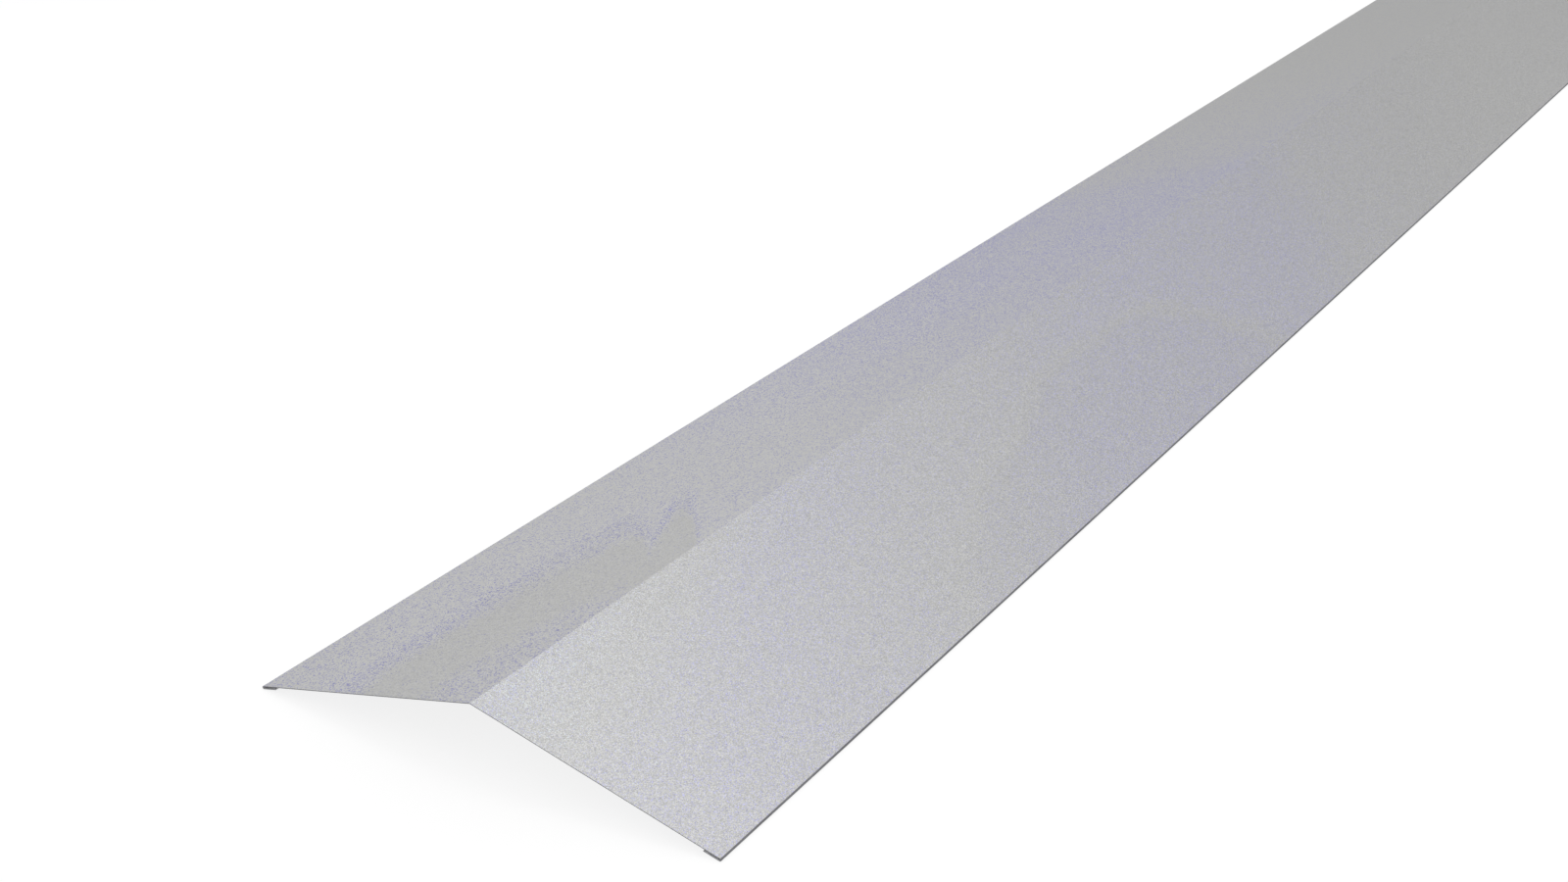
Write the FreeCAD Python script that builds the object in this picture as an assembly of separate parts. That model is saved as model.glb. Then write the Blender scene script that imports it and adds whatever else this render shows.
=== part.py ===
import FreeCAD
import Part
import math
import os

# Flat ridge cap for a pitched roof, folded from one strip of galvanised sheet steel.
# The strip is bent once along its middle, over the ridge, and each long edge is hemmed:
# turned back flat under its wing, which hides the cut edge and stiffens the wing.
# Section in the XZ plane, length along Y. The cap stands on its two hems at Z = 0,
# with the ridge above X = 0 and the origin at the middle of its length.

# Driving dimensions, in millimetres and degrees
CAP_LENGTH = 2000.0        # one stock length, square cut at both ends
WING_WIDTH = 150.0         # along the slope, from the ridge line to the outer edge of the hem
RIDGE_ANGLE = 152.0        # between the two wings, measured underneath
SHEET_THICKNESS = 0.45     # steel and zinc together
RIDGE_BEND_RADIUS = 1.0    # inside radius of the ridge fold
HEM_WIDTH = 10.0           # how far each hem reaches back under its wing, from the outer edge
HEM_GAP = 0.9              # clear space between a wing and its turned-back edge

# Sizes that follow from them
RIDGE_TURN = math.radians(180.0 - RIDGE_ANGLE)
HEM_TURN = math.pi
HEM_BEND_RADIUS = HEM_GAP / 2
HEM_OUTER_RADIUS = HEM_BEND_RADIUS + SHEET_THICKNESS
RIDGE_SETBACK = (RIDGE_BEND_RADIUS + SHEET_THICKNESS) * math.tan(RIDGE_TURN / 2)
WING_FLAT = WING_WIDTH - RIDGE_SETBACK - HEM_OUTER_RADIUS
HEM_FLAT = HEM_WIDTH - HEM_OUTER_RADIUS

# The strip from one raw edge to the other: each flat, and the bend that ends it.
# Every bend turns the same way, so one face stays inside all of them.
FLATS = [HEM_FLAT, WING_FLAT, WING_FLAT, HEM_FLAT]
BENDS = [
    (HEM_TURN, HEM_BEND_RADIUS),
    (RIDGE_TURN, RIDGE_BEND_RADIUS),
    (HEM_TURN, HEM_BEND_RADIUS),
]


def direction(angle):
    """Unit vector in the section plane, turned up from +X."""
    return FreeCAD.Vector(math.cos(angle), 0, math.sin(angle))


def bend_arc(centre, radius, start_angle, turn):
    """Arc of one face of a bend, turning clockwise from start_angle about the bend's centre."""
    start, middle, end = (
        centre + direction(start_angle - turn * share) * radius for share in (0, 0.5, 1)
    )
    return Part.Arc(start, middle, end)


def fold_strip(flats, bends, thickness):
    """Walks the strip's inside face through its flats and bends.

    Returns the curves of the inside face, those of the outside face and the bends' centres.
    """
    inside, outside, centres = [], [], []
    place = FreeCAD.Vector(0, 0, 0)
    heading = RIDGE_TURN / 2 + HEM_TURN
    for number, flat in enumerate(flats):
        outwards = direction(heading + math.pi / 2) * thickness
        end = place + direction(heading) * flat
        inside.append(Part.LineSegment(place, end))
        outside.append(Part.LineSegment(place + outwards, end + outwards))
        if number == len(bends):
            break
        turn, radius = bends[number]
        start_angle = heading + math.pi / 2
        centre = end - direction(start_angle) * radius
        inside.append(bend_arc(centre, radius, start_angle, turn))
        outside.append(bend_arc(centre, radius + thickness, start_angle, turn))
        centres.append(centre)
        heading -= turn
        place = centre + direction(heading + math.pi / 2) * radius
    return inside, outside, centres


def section_face():
    """Closed section of the folded sheet, ridge above X = 0 and hems on Z = 0."""
    inside, outside, centres = fold_strip(FLATS, BENDS, SHEET_THICKNESS)
    first_edge = Part.LineSegment(inside[0].StartPoint, outside[0].StartPoint)
    last_edge = Part.LineSegment(outside[-1].EndPoint, inside[-1].EndPoint)
    outline = [*outside, last_edge, *reversed(inside), first_edge]
    section = Part.Face(Part.Wire([curve.toShape() for curve in outline]))
    hem, ridge = centres[:2]
    lowest = hem.z - HEM_OUTER_RADIUS
    section.translate(FreeCAD.Vector(-ridge.x, -CAP_LENGTH / 2, -lowest))
    return section


def ridge_cap():
    """The whole cap: the section drawn out along the ridge."""
    return section_face().extrude(FreeCAD.Vector(0, CAP_LENGTH, 0))


def main():
    os.makedirs("parts", exist_ok=True)
    cap = ridge_cap()
    cap.exportStep("parts/ridge_cap.step")
    box = cap.BoundBox
    blank_width = cap.Volume / SHEET_THICKNESS / CAP_LENGTH
    print(f"valid {cap.isValid()}, solids {len(cap.Solids)}, faces {len(cap.Faces)}")
    print(f"box {box.XLength:.2f} x {box.YLength:.2f} x {box.ZLength:.2f} mm, lowest {box.ZMin:.4f}")
    print(f"volume {cap.Volume:.0f} mm3, width of the flat strip {blank_width:.1f} mm")


main()
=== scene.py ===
import math
import bmesh
import bpy
from mathutils import Matrix, Vector, noise


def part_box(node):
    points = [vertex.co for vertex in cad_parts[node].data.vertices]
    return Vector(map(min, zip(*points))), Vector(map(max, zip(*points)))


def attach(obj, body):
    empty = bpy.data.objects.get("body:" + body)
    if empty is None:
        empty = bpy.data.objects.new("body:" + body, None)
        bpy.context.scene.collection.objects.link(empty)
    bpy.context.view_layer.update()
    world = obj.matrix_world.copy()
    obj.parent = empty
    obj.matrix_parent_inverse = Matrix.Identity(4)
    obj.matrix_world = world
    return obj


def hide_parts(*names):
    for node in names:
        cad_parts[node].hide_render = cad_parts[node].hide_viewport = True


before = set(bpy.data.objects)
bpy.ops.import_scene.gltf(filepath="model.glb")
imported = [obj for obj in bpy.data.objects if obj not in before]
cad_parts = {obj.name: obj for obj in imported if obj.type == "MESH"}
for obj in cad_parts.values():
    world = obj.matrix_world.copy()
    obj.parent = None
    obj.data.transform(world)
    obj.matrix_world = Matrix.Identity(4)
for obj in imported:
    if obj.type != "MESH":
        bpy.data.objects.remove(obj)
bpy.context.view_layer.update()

# The folded sheet
# The whole cap is one strip of hot-dip galvanised steel. A press brake folds it once along the
# ridge, and each long edge is turned back flat underneath as a hem, on which the cap lies.

MM = 0.001
SHEET_THICKNESS = 0.45 * MM
WING_SLOPE = math.radians(14)
RIDGE_OUTER_RADIUS = 1.45 * MM
HEM_OUTER_RADIUS = 0.9 * MM
HEM_WIDTH = 10 * MM
RIDGE_STEPS = 4            # facets of half the ridge fold
HEM_STEPS = 16             # facets of one hem bend
WING_STRIPS = 11           # strips across one wing, as far as the hem's raw edge
LENGTH_STEPS = 125         # steps along the cap
MERGE_DISTANCE = SHEET_THICKNESS / 50
BUCKLE_HEIGHT = 0.12 * MM  # how far a wing bulges between the stiff ridge and the stiff hem
BUCKLE_LENGTH = 280 * MM
WING_SEED = 2              # keeps the two wings apart in the noise that swells them
SHARP_ANGLE = math.radians(35)

lowest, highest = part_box("ridge_cap")
downhill = Vector((math.cos(WING_SLOPE), 0, -math.sin(WING_SLOPE)))
off_wing = Vector((math.sin(WING_SLOPE), 0, math.cos(WING_SLOPE)))
ridge_centre = Vector((0, lowest.y, highest.z - RIDGE_OUTER_RADIUS))
hem_centre = Vector((highest.x - HEM_OUTER_RADIUS, lowest.y, lowest.z + HEM_OUTER_RADIUS))
wing_run = hem_centre - ridge_centre + off_wing * (HEM_OUTER_RADIUS - RIDGE_OUTER_RADIUS)
hem_run = downhill * (HEM_OUTER_RADIUS - HEM_WIDTH)


def bend(sheet, corner, centre, angle, steps):
    """Carries the end of the section round a bend and returns its new end."""
    spun = bmesh.ops.spin(
        sheet, geom=[corner], cent=centre, axis=(0, 1, 0), angle=angle, steps=steps
    )
    return spun["geom_last"][0]


def run_straight(sheet, corner, run, strips):
    """Carries the end of the section straight on, in equal strips, and returns its new end."""
    for _ in range(strips):
        corner = bmesh.ops.extrude_vert_indiv(sheet, verts=[corner])["verts"][0]
        bmesh.ops.translate(sheet, verts=[corner], vec=run / strips)
    return corner


# Half the section's outer face, from the top of the ridge to the raw edge of the hem
sheet = bmesh.new()
corner = sheet.verts.new((0, lowest.y, highest.z))
corner = bend(sheet, corner, ridge_centre, WING_SLOPE, RIDGE_STEPS)
corner = run_straight(sheet, corner, wing_run + hem_run, WING_STRIPS)
corner = run_straight(sheet, corner, -hem_run, 1)
corner = bend(sheet, corner, hem_centre, math.pi, HEM_STEPS)
run_straight(sheet, corner, hem_run, 1)

# Drawn out to the cap's length, cut into steps and mirrored over the ridge
drawn = bmesh.ops.extrude_edge_only(sheet, edges=sheet.edges[:])["geom"]
far_end = [part for part in drawn if isinstance(part, bmesh.types.BMVert)]
bmesh.ops.translate(sheet, verts=far_end, vec=(0, highest.y - lowest.y, 0))
lengthwise = [edge for edge in sheet.edges if edge.calc_length() > HEM_WIDTH + wing_run.length]
bmesh.ops.subdivide_edges(sheet, edges=lengthwise, cuts=LENGTH_STEPS - 1, use_grid_fill=True)
half = sheet.verts[:] + sheet.edges[:] + sheet.faces[:]
bmesh.ops.mirror(sheet, geom=half, matrix=Matrix(), merge_dist=MERGE_DISTANCE, axis="X")
bmesh.ops.recalc_face_normals(sheet, faces=sheet.faces[:])
if sum(face.normal.z * face.calc_area() for face in sheet.faces) < 0:
    bmesh.ops.reverse_faces(sheet, faces=sheet.faces[:])

# Thin sheet is never quite flat: each wing swells and sinks a little along its middle
for vert in sheet.verts:
    slackness = math.sin(math.pi * min(abs(vert.co.x) / highest.x, 1))
    seed = math.copysign(WING_SEED, vert.co.x)
    swell = noise.noise(Vector((seed, vert.co.y / BUCKLE_LENGTH, 0)))
    vert.co.z += BUCKLE_HEIGHT * slackness ** 2 * swell

bmesh.ops.solidify(sheet, geom=sheet.faces[:], thickness=SHEET_THICKNESS)

# What each face shows: the cut ends, the inside of a hem with painted light, the outside of its
# bend with painted shade, and plain zinc everywhere else
ZINC, SHADED_BEND, CUT_STEEL, LIT_HEM_GAP = range(4)
CUT_FACING = 0.9                           # how squarely a cut end faces along the cap, at least
MID_SHEET_RADIUS = 0.7 * HEM_OUTER_RADIUS  # between the inner and the outer face of a hem
BEND_START = 0.1 * HEM_OUTER_RADIUS        # out from the middle of the bend
for face in sheet.faces:
    face.smooth = True
    middle = face.calc_center_median()
    past_centre = Vector((abs(middle.x), lowest.y, middle.z)) - hem_centre
    outwards, upwards = past_centre.dot(downhill), past_centre.dot(off_wing)
    off_middle = math.hypot(max(outwards, 0), upwards)
    if abs(face.normal.y) > CUT_FACING:
        face.material_index = CUT_STEEL
    # The inside of each hem takes painted light
    elif outwards > -hem_run.length and off_middle < MID_SHEET_RADIUS:
        face.material_index = LIT_HEM_GAP
    # The outside of each hem bend takes painted shade
    elif outwards > BEND_START:
        face.material_index = SHADED_BEND
    else:
        face.material_index = ZINC

sheet_mesh = bpy.data.meshes.new("ridge_cap_sheet")
sheet.to_mesh(sheet_mesh)
sheet.free()
sheet_mesh.set_sharp_from_angle(angle=SHARP_ANGLE)
ridge_cap = bpy.data.objects.new("ridge_cap_sheet", sheet_mesh)
bpy.context.scene.collection.objects.link(ridge_cap)
weighted = ridge_cap.modifiers.new("flat_wings", "WEIGHTED_NORMAL")
weighted.keep_sharp = True


def linear(hex_colour):
    """Linear RGBA of an sRGB colour written as #RRGGBB."""
    shares = [int(hex_colour[place:place + 2], 16) / 255 for place in (1, 3, 5)]
    return [s / 12.92 if s <= 0.04045 else ((s + 0.055) / 1.055) ** 2.4 for s in shares] + [1]


def add_node(tree, kind, inputs, stops=(), **settings):
    """One shader node with its settings. Each input takes a value or another node's output.

    A colour ramp's stops are pairs of a place and a linear colour or a plain number.
    """
    node = tree.nodes.new(kind)
    for name, value in settings.items():
        setattr(node, name, value)
    for name, value in inputs.items():
        if isinstance(value, bpy.types.NodeSocket):
            tree.links.new(value, node.inputs[name])
        else:
            node.inputs[name].default_value = value
    if stops:
        elements = node.color_ramp.elements
        while len(elements) < len(stops):
            elements.new(1)
        for element, (place, colour) in zip(elements, stops):
            element.position = place
            element.color = colour if isinstance(colour, list) else (colour, colour, colour, 1)
    return node


def new_material(name):
    """An empty node material and its tree."""
    material = bpy.data.materials.new(name)
    material.use_nodes = True
    material.node_tree.nodes.clear()
    return material, material.node_tree


# Spangled zinc: molten zinc freezes on the steel as fine crystals in loose clusters. Each has its
# own tilt and its own faint tint, which together give the eye a satin grey, finely speckled. A
# lilac bloom lies over the middle of this length. It is thinned and gathered by three stains. Two
# of them also carry painted shade, a little darker than the sheet round them, and the right wing
# holds painted shade against the left and painted light at its far end.
RIGHT_GRAIN_WIDTH = 0.4 * MM
LEFT_GRAIN_WIDTH = 0.6 * MM  # the left half of the strip froze more slowly
CLUSTER_WIDTH = 1.8 * MM
LILAC_VARIATION = 0.15       # how far the share of lilac varies over the clusters and the drifts

zinc, tree = new_material("spangled_zinc")
place = add_node(tree, "ShaderNodeTexCoord", {})
axes = add_node(tree, "ShaderNodeSeparateXYZ", {"Vector": place.outputs["Object"]})
from_ridge = add_node(tree, "ShaderNodeMath", {0: axes.outputs["X"]}, operation="ABSOLUTE")
on_right = add_node(tree, "ShaderNodeMath", {
    0: axes.outputs["X"], 1: 0.0,
}, operation="GREATER_THAN")
on_left = add_node(tree, "ShaderNodeMath", {
    0: 1.0, 1: on_right.outputs["Value"],
}, operation="SUBTRACT")


def by_wing(left, right):
    """The left wing's value or output on the left wing, and the right wing's on the right."""
    return add_node(tree, "ShaderNodeMapRange", {
        "Value": on_right.outputs["Value"], "To Min": left, "To Max": right,
    }).outputs["Result"]


crystals = add_node(tree, "ShaderNodeTexVoronoi", {
    "Vector": place.outputs["Object"],
    "Scale": by_wing(1 / LEFT_GRAIN_WIDTH, 1 / RIGHT_GRAIN_WIDTH),
})
chance = add_node(tree, "ShaderNodeSeparateColor", {"Color": crystals.outputs["Color"]})
clusters = add_node(tree, "ShaderNodeTexVoronoi", {
    "Vector": place.outputs["Object"], "Scale": 1 / CLUSTER_WIDTH,
})
cluster_chance = add_node(tree, "ShaderNodeSeparateColor", {"Color": clusters.outputs["Color"]})
cluster_share = add_node(tree, "ShaderNodeMapRange", {
    "Value": cluster_chance.outputs["Green"],
    "To Min": 1 - LILAC_VARIATION, "To Max": 1 + LILAC_VARIATION,
})

# Broad drifts, in which there are more or fewer lilac crystals
DRIFT_WIDTH = 70 * MM
DRIFT_STRETCH = 3.0                # how much longer than wide a drift is
NOISE_LOW, NOISE_HIGH = 0.3, 0.7   # noise seldom leaves this range
swept = add_node(tree, "ShaderNodeMapping", {
    "Vector": place.outputs["Object"], "Scale": (1, 1 / DRIFT_STRETCH, 1),
})
drift = add_node(tree, "ShaderNodeTexNoise", {
    "Vector": swept.outputs["Vector"], "Scale": 1 / DRIFT_WIDTH, "Detail": 2.0, "Roughness": 0.6,
})
drift_share = add_node(tree, "ShaderNodeMapRange", {
    "Value": drift.outputs["Fac"], "From Min": NOISE_LOW, "From Max": NOISE_HIGH,
    "To Min": 1 - LILAC_VARIATION, "To Max": 1 + LILAC_VARIATION,
})

# The bloom: its share of lilac crystals, from the near end of the cap to the far end
LEFT_BLOOM_SLANT = 0.8   # how much nearer the bloom lies for each step out from the ridge
RIGHT_BLOOM_SLANT = 1.5
slanted = add_node(tree, "ShaderNodeMath", {
    0: from_ridge.outputs["Value"], 1: by_wing(LEFT_BLOOM_SLANT, RIGHT_BLOOM_SLANT),
    2: axes.outputs["Y"],
}, operation="MULTIPLY_ADD")
along = add_node(tree, "ShaderNodeMapRange", {
    "Value": slanted.outputs["Value"], "From Min": lowest.y, "From Max": highest.y,
})
left_bloom = add_node(tree, "ShaderNodeValToRGB", {"Fac": along.outputs["Result"]}, stops=[
    (0.0, 0.158), (0.125, 0.133), (0.185, 0.12), (0.215, 0.145), (0.265, 0.22), (0.325, 0.3),
    (0.395, 0.345), (0.475, 0.35), (0.51, 0.325), (0.54, 0.205), (0.575, 0.145), (0.635, 0.095),
    (0.715, 0.046), (0.795, 0.017),
])
right_bloom = add_node(tree, "ShaderNodeValToRGB", {"Fac": along.outputs["Result"]}, stops=[
    (0.0, 0.108), (0.1, 0.12), (0.14, 0.137), (0.19, 0.112), (0.225, 0.087), (0.26, 0.095),
    (0.34, 0.183), (0.4, 0.199), (0.44, 0.183), (0.5, 0.199), (0.53, 0.158), (0.56, 0.083),
    (0.66, 0.046), (0.8, 0.012),
])
bloom = by_wing(left_bloom.outputs["Color"], right_bloom.outputs["Color"])

# The stains, each on one wing. Distances from them are measured in stain widths.
STAIN_WANDER = 0.5       # how far the drifts push a stain's rim about
OTHER_WING_PUSH = 5.0    # puts the other wing out of a stain's reach
FARTHEST = 2.0           # where the ramps across a stain end


def stain_reach(middle, size, other_wing, push=drift.outputs["Fac"], lean=0.0, straight=False):
    """How far out of a stain a point lies, from 0 in its middle to 0.5 about its rim.

    The rim is an oval of that size, or the straight line that joins the oval's ends.
    """
    spread = add_node(tree, "ShaderNodeMapping", {
        "Vector": place.outputs["Object"], "Location": middle, "Rotation": (0, 0, lean),
        "Scale": size,
    }, vector_type="TEXTURE")
    reach = add_node(tree, "ShaderNodeVectorMath", {
        0: spread.outputs["Vector"], 1: (1, 1, 0),
    }, operation="DOT_PRODUCT" if straight else "LENGTH")
    ragged = add_node(tree, "ShaderNodeMath", {
        0: push, 1: STAIN_WANDER, 2: reach.outputs["Value"],
    }, operation="MULTIPLY_ADD")
    kept = add_node(tree, "ShaderNodeMath", {
        0: other_wing, 1: OTHER_WING_PUSH, 2: ragged.outputs["Value"],
    }, operation="MULTIPLY_ADD")
    return add_node(tree, "ShaderNodeMapRange", {
        "Value": kept.outputs["Value"],
        "From Min": STAIN_WANDER / 2, "From Max": STAIN_WANDER / 2 + FARTHEST,
    }).outputs["Result"]


# The shaded patch lies on the left wing, about the near end of the ridge, with a lilac rim. Its
# darkening is painted shade, a darker reflection painted into the zinc. Its far end runs out in
# two points, slantwise down the wing.
SHADED_PATCH_SIZE = Vector((79, 335, 79)) * MM
PATCH_SHADE_DEPTH = 0.135          # painted shade: how much its darkest crystals lose
RUN_SPACING = 59 * MM    # of the pointed runs at its far end
RUN_SLANT = 1.48         # how far a run leads along the cap for each step out from the ridge
LAST_RUN = -805 * MM     # where the far side of the last run would meet the ridge
FIRST_NOTCH = LAST_RUN - 1.4 * RUN_SPACING
RUN_EDGE = 20 * MM
NOTCH_DEPTH = 1.0        # at the last run
NOTCH_SHARPNESS = 2.0

near_ridge_end = (0, lowest.y, highest.z)
across_runs = add_node(tree, "ShaderNodeMath", {
    0: from_ridge.outputs["Value"], 1: -RUN_SLANT, 2: axes.outputs["Y"],
}, operation="MULTIPLY_ADD")
notches = add_node(tree, "ShaderNodeMath", {
    0: across_runs.outputs["Value"], 1: RUN_SPACING / 2,
}, operation="PINGPONG")
sharp_notches = add_node(tree, "ShaderNodeMath", {
    0: notches.outputs["Value"], 1: NOTCH_SHARPNESS,
}, operation="POWER")
notch_depth = add_node(tree, "ShaderNodeMapRange", {
    "Value": across_runs.outputs["Value"], "From Min": FIRST_NOTCH, "From Max": LAST_RUN,
    "To Max": NOTCH_DEPTH / STAIN_WANDER / (RUN_SPACING / 2) ** NOTCH_SHARPNESS,
})
notched = add_node(tree, "ShaderNodeMath", {
    0: sharp_notches.outputs["Value"], 1: notch_depth.outputs["Result"], 2: drift.outputs["Fac"],
}, operation="MULTIPLY_ADD")
past_last_run = add_node(tree, "ShaderNodeMapRange", {
    "Value": across_runs.outputs["Value"], "From Min": LAST_RUN, "From Max": LAST_RUN + RUN_EDGE,
    "To Max": 1 / STAIN_WANDER,
})
runs = add_node(tree, "ShaderNodeMath", {
    0: notched.outputs["Value"], 1: past_last_run.outputs["Result"],
}, operation="ADD")
out_of_patch = stain_reach(
    near_ridge_end, SHADED_PATCH_SIZE, on_right.outputs["Value"], push=runs.outputs["Value"]
)
patch_share = add_node(tree, "ShaderNodeValToRGB", {"Fac": out_of_patch}, stops=[
    (0.17, 1.0), (0.25, 0.15), (0.45, 0.15), (0.53, 1.75), (0.58, 1.75), (0.64, 1.0),
])
patch_painted_shade = add_node(tree, "ShaderNodeValToRGB", {"Fac": out_of_patch}, stops=[
    (0.57, PATCH_SHADE_DEPTH), (0.62, 0.0),
])

# The bare streak faces it on the right wing, and cuts off the near corner by the ridge. A few of
# its crystals are a cold white.
BARE_STREAK_SIZE = Vector((60, 204, 60)) * MM
out_of_streak = stain_reach(
    near_ridge_end, BARE_STREAK_SIZE, on_left.outputs["Value"], straight=True
)
streak_share = add_node(tree, "ShaderNodeValToRGB", {"Fac": out_of_streak}, stops=[
    (0.1, 1.0), (0.25, 0.75), (0.37, 0.38), (0.5, 0.38), (0.6, 0.65), (0.7, 0.95), (0.85, 1.1),
    (1.0, 1.15),
])
cold_share = add_node(tree, "ShaderNodeValToRGB", {"Fac": out_of_streak}, stops=[
    (0.15, 0.06), (0.3, 0.045), (0.45, 0.02), (0.7, 0.01), (1.0, 0.0),
])

# The tongue reaches in from the right wing's hem. It carries painted shade, slightly darker than
# the sheet round it, and has a rim with little lilac in it.
TONGUE_SIZE = Vector((98, 258, 98)) * MM
TONGUE_MIDDLE = -515 * MM
TONGUE_LEAN = math.radians(10.7)   # its far end lies nearer the ridge
TONGUE_PAINTED_SHADE = 0.98
out_of_tongue = stain_reach(
    (highest.x, TONGUE_MIDDLE, lowest.z), TONGUE_SIZE, on_left.outputs["Value"], lean=TONGUE_LEAN
)
tongue_share = add_node(tree, "ShaderNodeValToRGB", {"Fac": out_of_tongue}, stops=[
    (0.0, 1.05), (0.45, 1.05), (0.485, 0.55), (0.505, 0.55), (0.54, 1.0),
])
# Painted shade inside the tongue
tongue_painted_shade = add_node(tree, "ShaderNodeValToRGB", {"Fac": out_of_tongue}, stops=[
    (0.46, TONGUE_PAINTED_SHADE), (0.51, 1.0),
])

lilac_share = bloom
for share in (
    drift_share.outputs["Result"], cluster_share.outputs["Result"],
    patch_share.outputs["Color"], streak_share.outputs["Color"], tongue_share.outputs["Color"],
):
    lilac_share = add_node(tree, "ShaderNodeMath", {
        0: lilac_share, 1: share,
    }, operation="MULTIPLY").outputs["Value"]

# Each crystal's tint, lilac below its share of the chances and warm grey above it
TINT_BLEND = 0.06        # how far to either side of that the two blend
spare = add_node(tree, "ShaderNodeMath", {
    0: chance.outputs["Red"], 1: lilac_share,
}, operation="SUBTRACT")
greyness = add_node(tree, "ShaderNodeMapRange", {
    "Value": spare.outputs["Value"], "From Min": -TINT_BLEND, "From Max": TINT_BLEND,
})
common_tint = add_node(tree, "ShaderNodeMixRGB", {
    "Fac": greyness.outputs["Result"], "Color1": linear("#AFAFD8"), "Color2": linear("#BEBEBD"),
})
cold_chance = add_node(tree, "ShaderNodeMath", {
    0: chance.outputs["Green"], 1: cold_share.outputs["Color"],
}, operation="ADD")
cold = add_node(tree, "ShaderNodeMath", {
    0: cold_chance.outputs["Value"], 1: 1.0,
}, operation="GREATER_THAN")
tint = add_node(tree, "ShaderNodeMixRGB", {
    "Fac": cold.outputs["Value"], "Color1": common_tint.outputs["Color"],
    "Color2": linear("#BEC7CB"),
})

# Its glint, which goes with its tint on the left wing and not on the right. The share of lilac is
# added in, so that the mean of the left wing's glints is 1 at any share.
LEFT_GLINT = 0.31        # how much duller a lilac crystal is than a grey one
RIGHT_GLINT = 0.27       # how far the brightest and dullest crystals stand off the mean
RIGHT_PAINTED_SHADE = 0.965      # painted shade: the right wing, on the mean, darker than the left
FAR_PAINTED_LIGHT = 1.035        # painted light: the right wing's far end lighter than its middle
FAR_FROM, FAR_TO = 0.65, 0.85   # where that painted light comes in, in shares of the cap's length
CLUSTER_GLINT = 0.03
PATCH_SHADE_SPREAD = 2.0        # the higher, the fewer crystals of the patch take the whole of its painted shade
balanced = add_node(tree, "ShaderNodeMath", {
    0: greyness.outputs["Result"], 1: lilac_share,
}, operation="ADD")
left_glint = add_node(tree, "ShaderNodeMath", {
    0: balanced.outputs["Value"], 1: LEFT_GLINT, 2: 1 - LEFT_GLINT,
}, operation="MULTIPLY_ADD")
# The right wing's crystal glints, with painted shade against the left wing and painted light at
# the far end
shaded_right_glint = add_node(tree, "ShaderNodeMapRange", {
    "Value": chance.outputs["Green"],
    "To Min": RIGHT_PAINTED_SHADE - RIGHT_GLINT, "To Max": RIGHT_PAINTED_SHADE + RIGHT_GLINT,
})
far_painted_light = add_node(tree, "ShaderNodeMapRange", {
    "Value": along.outputs["Result"], "From Min": FAR_FROM, "From Max": FAR_TO,
    "To Min": 1.0, "To Max": FAR_PAINTED_LIGHT,
})
right_glint_and_painted_light = add_node(tree, "ShaderNodeMath", {
    0: shaded_right_glint.outputs["Result"], 1: far_painted_light.outputs["Result"],
}, operation="MULTIPLY")
cluster_glint = add_node(tree, "ShaderNodeMapRange", {
    "Value": cluster_chance.outputs["Red"],
    "To Min": 1 - CLUSTER_GLINT, "To Max": 1 + CLUSTER_GLINT,
})
# The patch's painted shade, deeper on some crystals than on others
patch_shade_chance = add_node(tree, "ShaderNodeMath", {
    0: chance.outputs["Green"], 1: PATCH_SHADE_SPREAD,
}, operation="POWER")
patch_shade_loss = add_node(tree, "ShaderNodeMath", {
    0: patch_shade_chance.outputs["Value"], 1: patch_painted_shade.outputs["Color"],
}, operation="MULTIPLY")
patch_shade_brightness = add_node(tree, "ShaderNodeMath", {
    0: 1.0, 1: patch_shade_loss.outputs["Value"],
}, operation="SUBTRACT")
brightness = by_wing(left_glint.outputs["Value"], right_glint_and_painted_light.outputs["Value"])
for share in (
    cluster_glint.outputs["Result"], patch_shade_brightness.outputs["Value"],
    tongue_painted_shade.outputs["Color"],
):
    brightness = add_node(tree, "ShaderNodeMath", {
        0: brightness, 1: share,
    }, operation="MULTIPLY").outputs["Value"]
coating = add_node(tree, "ShaderNodeVectorMath", {
    0: tint.outputs["Color"], "Scale": brightness,
}, operation="SCALE")

# Its roughness and its tilt
SMOOTHEST, ROUGHEST = 0.44, 0.56
CRYSTAL_TILT = 0.08      # radians from one extreme to the other
ZINC_EDGE = 0.48         # holds back the shine at grazing angles, as a film of oxide does
roughness = add_node(tree, "ShaderNodeMapRange", {
    "Value": chance.outputs["Blue"], "To Min": SMOOTHEST, "To Max": ROUGHEST,
})
untilted = add_node(tree, "ShaderNodeNewGeometry", {})
off_mean = add_node(tree, "ShaderNodeVectorMath", {
    0: crystals.outputs["Color"], 1: (0.5, 0.5, 0.5),
}, operation="SUBTRACT")
tilted = add_node(tree, "ShaderNodeVectorMath", {
    0: off_mean.outputs["Vector"], 1: (CRYSTAL_TILT,) * 3, 2: untilted.outputs["Normal"],
}, operation="MULTIPLY_ADD")
facet = add_node(tree, "ShaderNodeVectorMath", {
    0: tilted.outputs["Vector"],
}, operation="NORMALIZE")

surface = add_node(tree, "ShaderNodeBsdfPrincipled", {
    "Base Color": coating.outputs["Vector"], "Metallic": 1.0,
    "Roughness": roughness.outputs["Result"], "Normal": facet.outputs["Vector"],
    "Specular Tint": (ZINC_EDGE, ZINC_EDGE, ZINC_EDGE, 1),
})
add_node(tree, "ShaderNodeOutputMaterial", {"Surface": surface.outputs["BSDF"]})


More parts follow.
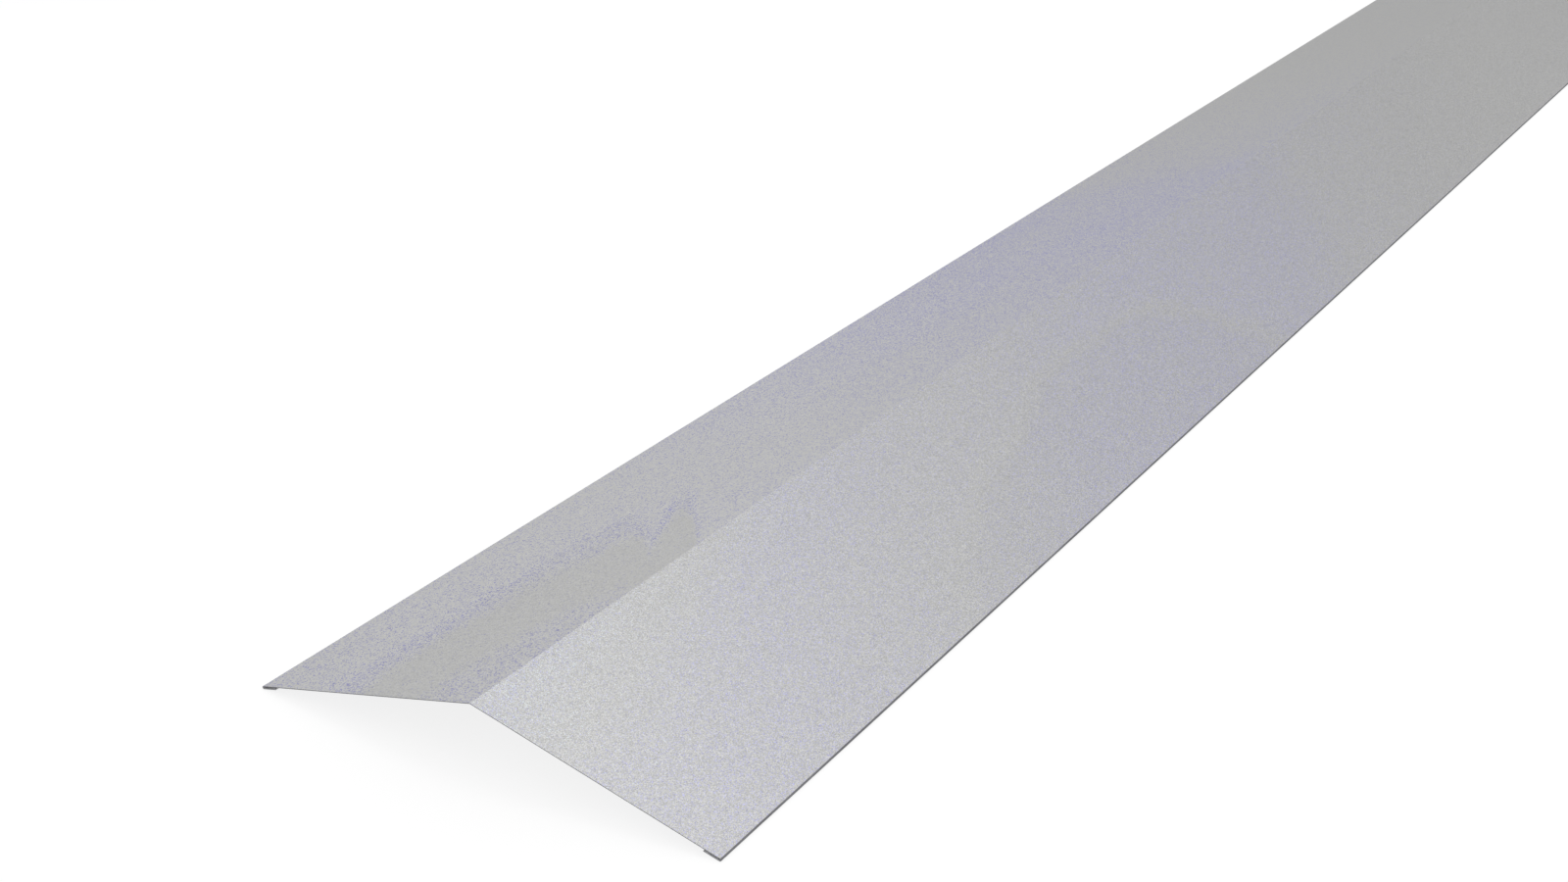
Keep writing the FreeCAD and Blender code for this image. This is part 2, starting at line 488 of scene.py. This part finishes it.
def mottled(name, width, detail, dark, light, finish, stretch=1):
    """A material mottled between two colours, with marks that may be drawn out lengthwise."""
    material, tree = new_material(name)
    place = add_node(tree, "ShaderNodeTexCoord", {})
    stretched = add_node(tree, "ShaderNodeMapping", {
        "Vector": place.outputs["Object"], "Scale": (1, 1 / stretch, 1),
    })
    marks = add_node(tree, "ShaderNodeTexNoise", {
        "Vector": stretched.outputs["Vector"], "Scale": 1 / width, "Detail": detail,
    })
    tint = add_node(tree, "ShaderNodeValToRGB", {"Fac": marks.outputs["Fac"]}, stops=[
        (NOISE_LOW, linear(dark)), (NOISE_HIGH, linear(light)),
    ])
    surface = add_node(tree, "ShaderNodeBsdfPrincipled", {
        "Base Color": tint.outputs["Color"], **finish,
    })
    add_node(tree, "ShaderNodeOutputMaterial", {"Surface": surface.outputs["BSDF"]})
    return material


# Painted shade on the hem bends: each hem's outer bend is coloured a mottled dark grey, a narrow
# line of painted shade along the edge of the wing.
BEND_MOTTLE_WIDTH = 1.5 * MM
BEND_MOTTLE_STRETCH = 10
WORN_EDGE = 0.6          # as ZINC_EDGE, for the hem bends and the cut metal
shaded_bend_zinc = mottled(
    "hem_bend_painted_shade", BEND_MOTTLE_WIDTH, 3.0, "#757578", "#8A8A8D", stretch=BEND_MOTTLE_STRETCH, finish={
        "Metallic": 1.0, "Roughness": 0.55, "Specular Tint": (WORN_EDGE, WORN_EDGE, WORN_EDGE, 1),
    },
)

# Sheared steel: the cut ends show the bare core of the sheet, torn by the shears, which gives
# the eye a thin dark grey edge.
TEAR_WIDTH = 0.6 * MM
cut_steel = mottled(
    "sheared_steel", TEAR_WIDTH, 2.0, "#767679", "#8B8B8E", finish={
        "Metallic": 1.0, "Roughness": 0.5, "Specular Tint": (WORN_EDGE, WORN_EDGE, WORN_EDGE, 1),
    },
)

# Painted light in the hem gaps: the narrow gap of each hem is given a pale chalky matt surface,
# which lifts its shade, so the slot at each end gives the eye a matt grey and not a black.
CHALK_WIDTH = 2.5 * MM
hem_gap_painted_light = mottled(
    "hem_gap_painted_light", CHALK_WIDTH, 3.0, "#B2B2B4", "#C6C6C7", finish={"Roughness": 0.9}
)

for material in (zinc, shaded_bend_zinc, cut_steel, hem_gap_painted_light):
    sheet_mesh.materials.append(material)
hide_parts("ridge_cap")
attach(ridge_cap, "root")

# The floor
# A plain white studio floor, far wider than the cap. It looks white to the camera and in the
# metal, and a part of its brightness is its own matt surface, which keeps the cap's shadow.

FLOOR_REACH = 30.0
PLAIN_WHITE = 0.8          # share of the floor's look that no shadow reaches

floor_grid = bmesh.new()
bmesh.ops.create_grid(floor_grid, x_segments=1, y_segments=1, size=FLOOR_REACH)
floor_mesh = bpy.data.meshes.new("studio_floor")
floor_grid.to_mesh(floor_mesh)
floor_grid.free()
floor = bpy.data.objects.new("studio_floor", floor_mesh)
bpy.context.scene.collection.objects.link(floor)

# Matt white paint: an even pale surface with no gloss
paint, tree = new_material("matt_white_paint")
rays = add_node(tree, "ShaderNodeLightPath", {})
seen = rays.outputs["Is Camera Ray"]
for other_ray in ("Is Glossy Ray", "Is Transmission Ray"):
    seen = add_node(tree, "ShaderNodeMath", {
        0: seen, 1: rays.outputs[other_ray],
    }, operation="MAXIMUM").outputs["Value"]
share = add_node(tree, "ShaderNodeMath", {0: seen, 1: PLAIN_WHITE}, operation="MULTIPLY")
matt = add_node(tree, "ShaderNodeBsdfDiffuse", {"Color": linear("#FAFAFA")})
white = add_node(tree, "ShaderNodeEmission", {"Color": linear("#FFFFFF"), "Strength": 1.0})
both = add_node(tree, "ShaderNodeMixShader", {
    "Fac": share.outputs["Value"], 1: matt.outputs["BSDF"], 2: white.outputs["Emission"],
})
add_node(tree, "ShaderNodeOutputMaterial", {"Surface": both.outputs["Shader"]})
floor_mesh.materials.append(paint)

# The light
# An even white studio all round, and two softboxes. One hangs over the cap, and its glow lies on
# the near end of the right wing. A larger one stands lower on the left and lights the left wing.

OVERHEAD_PLACE = Vector((0.0, -0.3, 1.63))
OVERHEAD_SIDE = 0.7
OVERHEAD_POWER = 3.9
LEFT_PLACE = Vector((-1.03, 0.19, 0.83))
LEFT_SIDE = 1.32
LEFT_POWER = 1.84

world = bpy.data.worlds.new("white_studio")
world.use_nodes = True
background = world.node_tree.nodes["Background"]
background.inputs["Color"].default_value = linear("#FFFFFF")
background.inputs["Strength"].default_value = 1.0
bpy.context.scene.world = world

for name, spot, side, power in (
    ("overhead_softbox", OVERHEAD_PLACE, OVERHEAD_SIDE, OVERHEAD_POWER),
    ("left_softbox", LEFT_PLACE, LEFT_SIDE, LEFT_POWER),
):
    lamp = bpy.data.lights.new(name, "AREA")
    lamp.size = side
    lamp.energy = power
    softbox = bpy.data.objects.new(name, lamp)
    softbox.location = spot
    softbox.rotation_euler = (-spot).to_track_quat("-Z", "Y").to_euler()
    softbox.visible_camera = False
    bpy.context.scene.collection.objects.link(softbox)

# The camera
# It looks down along the cap from beyond the near end and from the right of the ridge, and it is
# tilted by about a degree, as the photograph is.

CAMERA_PLACE = Vector((0.5935, -1.6334, 0.5664))
TURN = math.radians(32.931)      # to the left of straight along the cap
DOWN = math.radians(24.6605)
ROLL = math.radians(-0.9714)
PHOTO_FOCAL_PIXELS = 2108.11
PHOTO_WIDTH_PIXELS = 1600
SENSOR_WIDTH_MM = 36

lens = bpy.data.cameras.new("camera")
lens.sensor_width = SENSOR_WIDTH_MM
lens.lens = SENSOR_WIDTH_MM * PHOTO_FOCAL_PIXELS / PHOTO_WIDTH_PIXELS
lens.clip_end = 2 * FLOOR_REACH
camera = bpy.data.objects.new("camera", lens)
camera.location = CAMERA_PLACE
aim = Matrix.Rotation(TURN, 3, "Z") @ Matrix.Rotation(math.pi / 2 - DOWN, 3, "X")
camera.rotation_euler = (aim @ Matrix.Rotation(ROLL, 3, "Z")).to_euler()
bpy.context.scene.collection.objects.link(camera)
bpy.context.scene.camera = camera
bpy.context.scene.view_settings.view_transform = "Standard"
